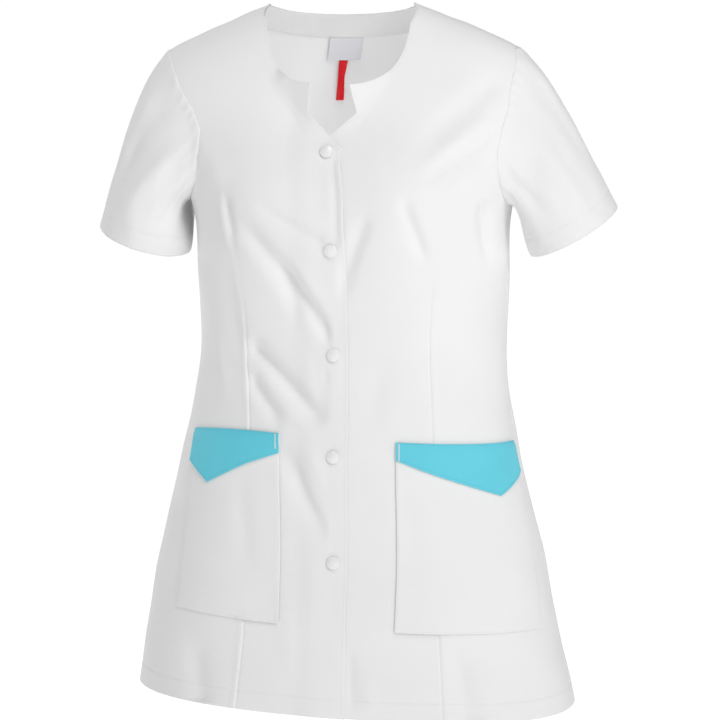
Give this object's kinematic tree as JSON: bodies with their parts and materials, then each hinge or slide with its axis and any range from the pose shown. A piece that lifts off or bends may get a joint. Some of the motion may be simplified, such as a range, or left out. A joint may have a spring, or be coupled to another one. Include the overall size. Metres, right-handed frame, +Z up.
{
  "type": "medical tunic",
  "caption": "Short-sleeved, waisted medical tunic that snaps up the front, with a notched round neck and two flapped hip pockets, filled out as if worn.",
  "frame": {"origin": "midway between the neck points of the two shoulder seams, where shoulders hold the tunic up", "axes": "+Z up, front facing -Y, wearer's left toward +X"},
  "size_m": [0.5456, 0.2516, 0.7379],
  "materials": {
    "front_right": "matte woven cloth",
    "front_left": "matte woven cloth",
    "back": "matte woven cloth",
    "sleeve_right": "matte woven cloth",
    "sleeve_left": "matte woven cloth",
    "back_neck_facing": "matte woven cloth",
    "neck_label": "smooth woven label",
    "label_tape": "satin ribbon",
    "pocket_right": "matte woven cloth",
    "pocket_left": "matte woven cloth",
    "pocket_flap_right": "matte woven cloth",
    "pocket_flap_left": "matte woven cloth",
    "snap_1": "smooth moulded cap",
    "snap_2": "smooth moulded cap",
    "snap_3": "smooth moulded cap",
    "snap_4": "smooth moulded cap",
    "snap_5": "smooth moulded cap"
  },
  "bodies": {
    "root": {"front_right": "front_right", "front_left": "front_left", "back": "back", "sleeve_right": "sleeve_right", "sleeve_left": "sleeve_left", "back_neck_facing": "back_neck_facing", "neck_label": "neck_label", "label_tape": "label_tape", "pocket_right": "pocket_right", "pocket_left": "pocket_left", "pocket_flap_right": "pocket_flap_right", "pocket_flap_left": "pocket_flap_left", "snap_1": "snap_1", "snap_2": "snap_2", "snap_3": "snap_3", "snap_4": "snap_4", "snap_5": "snap_5"}
  },
  "joints": []
}
